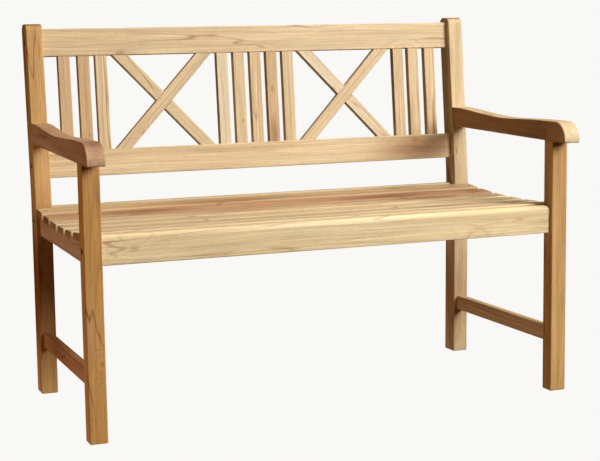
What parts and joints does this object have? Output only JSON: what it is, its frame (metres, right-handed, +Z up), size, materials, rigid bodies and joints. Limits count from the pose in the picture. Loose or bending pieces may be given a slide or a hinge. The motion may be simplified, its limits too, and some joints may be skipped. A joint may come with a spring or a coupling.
{
  "type": "garden bench",
  "caption": "Two-seat slatted hardwood garden bench with curved armrests, dished seat, raked back and crossed bars between vertical slats.",
  "frame": {"origin": "on the floor, at the middle of the bench's overall width and depth", "axes": "+X along the bench to the right of somebody standing in front of it, +Y from the front edge to the back, +Z up"},
  "size_m": [1.2, 0.6247, 0.9175],
  "materials": {
    "teak_frame": "planed and sanded teak, light oil",
    "teak_seat": "planed and sanded teak, light oil",
    "teak_back_slats": "planed and sanded teak, light oil",
    "teak_plug": "cross-cut teak, sanded flush",
    "stainless_bolt": "plain stainless steel",
    "stainless_screw": "plain stainless steel",
    "zinc_barrel_nut": "zinc-plated steel"
  },
  "bodies": {
    "root": {"armrest_left": "teak_frame", "armrest_right": "teak_frame", "back_slat_centre_1": "teak_back_slats", "back_slat_centre_2": "teak_back_slats", "back_slat_centre_3": "teak_back_slats", "back_slat_centre_4": "teak_back_slats", "back_slat_centre_5": "teak_back_slats", "back_slat_left_1": "teak_back_slats", "back_slat_left_2": "teak_back_slats", "back_slat_left_3": "teak_back_slats", "back_slat_right_1": "teak_back_slats", "back_slat_right_2": "teak_back_slats", "back_slat_right_3": "teak_back_slats", "barrel_nuts": "zinc_barrel_nut", "bolt_washers": "stainless_bolt", "centre_seat_bearer": "teak_frame", "cross_bar_left_falling": "teak_back_slats", "cross_bar_left_rising": "teak_back_slats", "cross_bar_right_falling": "teak_back_slats", "cross_bar_right_rising": "teak_back_slats", "frame_bolts": "stainless_bolt", "front_apron": "teak_frame", "front_leg_left": "teak_frame", "front_leg_right": "teak_frame", "lower_back_rail": "teak_frame", "rear_post_left": "teak_frame", "rear_post_right": "teak_frame", "rear_seat_rail": "teak_frame", "seat_slat_1": "teak_seat", "seat_slat_2": "teak_seat", "seat_slat_3": "teak_seat", "seat_slat_4": "teak_seat", "seat_slat_5": "teak_seat", "seat_slat_6": "teak_seat", "seat_slat_plugs": "teak_plug", "seat_slat_screws": "stainless_screw", "side_seat_rail_left": "teak_frame", "side_seat_rail_right": "teak_frame", "side_stretcher_left": "teak_frame", "side_stretcher_right": "teak_frame", "top_back_rail": "teak_frame"}
  },
  "joints": []
}
